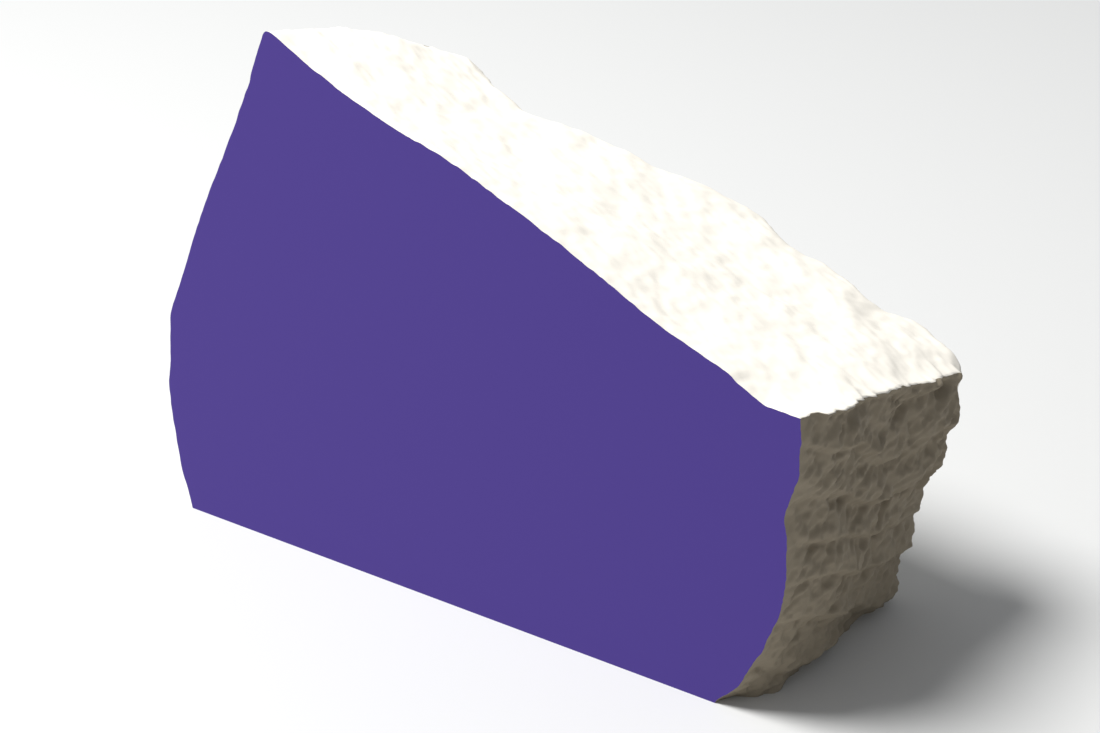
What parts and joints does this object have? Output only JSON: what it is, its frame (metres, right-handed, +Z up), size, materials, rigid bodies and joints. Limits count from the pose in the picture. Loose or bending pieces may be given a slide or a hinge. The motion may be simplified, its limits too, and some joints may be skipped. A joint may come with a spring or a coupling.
{
  "type": "rough purple opal",
  "caption": "Piece of rough purple opal with white veins and a grey band, one side sawn and polished, one end broken, chalky rind around the rest, resting on a flat sawn foot.",
  "frame": {"origin": "on the resting plane, in the middle of the stone's box", "axes": "+Z up; +X along the length, towards the broken end; the polished face looks along -Y"},
  "size_m": [0.1441, 0.061, 0.1044],
  "materials": {
    "opal": "polished purple opal on the sawn face, chalky rind and rough broken matrix elsewhere"
  },
  "bodies": {
    "root": {"purple_opal": "opal"}
  },
  "joints": []
}
